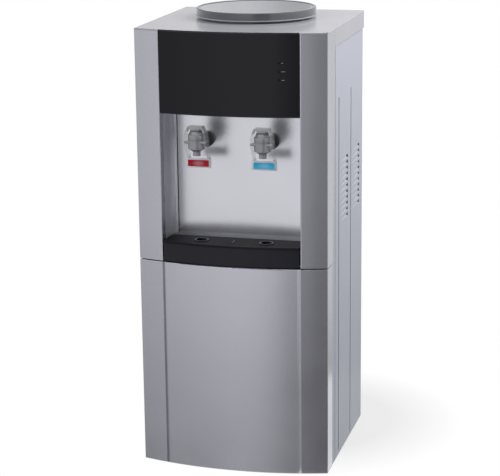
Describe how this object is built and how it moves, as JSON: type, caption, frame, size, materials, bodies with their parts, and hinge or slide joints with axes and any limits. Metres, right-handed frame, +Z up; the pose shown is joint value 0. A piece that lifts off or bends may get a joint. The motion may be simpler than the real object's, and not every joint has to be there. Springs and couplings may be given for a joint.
{
  "type": "water cooler",
  "caption": "Free-standing water cooler with a bowed front, hot and cold lever taps in a niche, a sliding drip tray, a storage cabinet door below and a top collar for an upturned bottle.",
  "frame": {"origin": "floor level under the centre of the cabinet's outer box", "axes": "+Z up, -Y towards the user and the taps, +X to the user's right"},
  "size_m": [0.36, 0.355, 0.862],
  "materials": {
    "silver_front": "satin",
    "light_cover": "gloss",
    "grey_sheet": "satin",
    "niche_silver": "satin",
    "satin_plate": "satin",
    "black_fascia": "gloss",
    "black_tray": "satin",
    "tap_grey": "gloss",
    "lever_clear": "gloss",
    "tag_red": "gloss",
    "tag_blue": "gloss",
    "black_plastic": "matte",
    "plunger_white": "satin",
    "switch_red": "gloss",
    "switch_green": "gloss",
    "lens_amber": "gloss",
    "board_green": "satin",
    "collar_grey": "gloss",
    "funnel_grey": "satin",
    "tank_steel": "satin",
    "evaporator_metal": "satin",
    "foam": "matte",
    "zinc_steel": "satin",
    "hose_clear": "satin",
    "copper": "satin",
    "condenser_black": "satin",
    "compressor_black": "gloss",
    "black_rubber": "matte",
    "grey_rubber": "matte",
    "liner_white": "satin"
  },
  "bodies": {
    "cabinet": {"front_frame": "silver_front", "top_cover": "light_cover", "left_side_panel": "grey_sheet", "right_side_panel": "grey_sheet", "rear_panel": "grey_sheet", "niche_liner": "niche_silver", "niche_back_plate": "satin_plate", "control_panel": "black_fascia", "hot_tap_body": "tap_grey", "hot_tap_cap": "tap_grey", "cold_tap_body": "tap_grey", "cold_tap_cap": "tap_grey", "hot_tap_rose": "black_plastic", "cold_tap_rose": "black_plastic", "hot_tap_nut": "black_plastic", "cold_tap_nut": "black_plastic", "switch_housing": "black_plastic", "cord_gland": "black_plastic", "indicator_lenses": "lens_amber", "indicator_board": "board_green", "cold_tank": "tank_steel", "hot_tank": "tank_steel", "heater_band": "tank_steel", "evaporator_sleeve": "evaporator_metal", "tank_insulation": "foam", "base_pan": "zinc_steel", "mid_deck": "zinc_steel", "tank_deck": "zinc_steel", "hinge_brackets": "zinc_steel", "hinge_pins": "zinc_steel", "panel_screws": "zinc_steel", "cold_hose": "hose_clear", "hot_hose": "hose_clear", "link_hose": "hose_clear", "suction_line": "copper", "filter_drier": "copper", "condenser_tube": "condenser_black", "condenser_wires": "condenser_black", "compressor": "compressor_black", "feet": "black_rubber", "compressor_mounts": "black_rubber", "cabinet_liner": "liner_white", "storage_shelf": "liner_white"},
    "door": {"door_skin": "silver_front", "door_liner": "liner_white", "door_gasket": "grey_rubber"},
    "hot_lever": {"hot_tap_lever": "lever_clear", "hot_tap_tag": "tag_red"},
    "cold_lever": {"cold_tap_lever": "lever_clear", "cold_tap_tag": "tag_blue"},
    "hot_plunger": {"hot_tap_plunger": "plunger_white"},
    "cold_plunger": {"cold_tap_plunger": "plunger_white"},
    "tray": {"drip_tray": "black_tray"},
    "grate": {"drip_grate": "black_tray"},
    "bottle_seat": {"bottle_collar": "collar_grey", "bottle_funnel": "funnel_grey", "feed_spike": "funnel_grey"},
    "heat_rocker": {"heat_switch": "switch_red"},
    "cool_rocker": {"cool_switch": "switch_green"},
    "drain_cap": {"drain_plug": "black_plastic"}
  },
  "joints": [
    {"name": "door_hinge", "type": "hinge", "parent": "cabinet", "child": "door", "pos_m": [-0.173, -0.124, 0.21], "axis": [0, 0, -1], "range_deg": [0, 110]},
    {"name": "hot_lever_pivot", "type": "hinge", "parent": "cabinet", "child": "hot_lever", "pos_m": [-0.062, -0.171, 0.639], "axis": [1, 0, 0], "range_deg": [0, 12]},
    {"name": "cold_lever_pivot", "type": "hinge", "parent": "cabinet", "child": "cold_lever", "pos_m": [0.062, -0.171, 0.639], "axis": [1, 0, 0], "range_deg": [0, 12]},
    {"name": "hot_plunger_lift", "type": "slide", "parent": "cabinet", "child": "hot_plunger", "axis": [0, 0, 1], "range_m": [0, 0.0018], "stiffness_N_per_m": 400},
    {"name": "cold_plunger_lift", "type": "slide", "parent": "cabinet", "child": "cold_plunger", "axis": [0, 0, 1], "range_m": [0, 0.0018], "stiffness_N_per_m": 400},
    {"name": "tray_slide", "type": "slide", "parent": "cabinet", "child": "tray", "axis": [0, -1, 0], "range_m": [0, 0.08]},
    {"name": "grate_lift", "type": "slide", "parent": "tray", "child": "grate", "axis": [0, 0, 1], "range_m": [0, 0.05]},
    {"name": "bottle_seat_lift", "type": "slide", "parent": "cabinet", "child": "bottle_seat", "axis": [0, 0, 1], "range_m": [0, 0.1]},
    {"name": "heat_switch_rock", "type": "hinge", "parent": "cabinet", "child": "heat_rocker", "pos_m": [0.152, 0.1482, 0.615], "axis": [-1, 0, 0], "range_deg": [0, 16]},
    {"name": "cool_switch_rock", "type": "hinge", "parent": "cabinet", "child": "cool_rocker", "pos_m": [0.152, 0.1482, 0.571], "axis": [-1, 0, 0], "range_deg": [0, 16]},
    {"name": "drain_plug_pull", "type": "slide", "parent": "cabinet", "child": "drain_cap", "axis": [0, 1, 0], "range_m": [0, 0.02]}
  ],
  "couplings": [
    {"joint": "hot_lever_pivot", "follows": "hot_plunger_lift", "rad_per_m": 111.4},
    {"joint": "cold_lever_pivot", "follows": "cold_plunger_lift", "rad_per_m": 111.4}
  ]
}
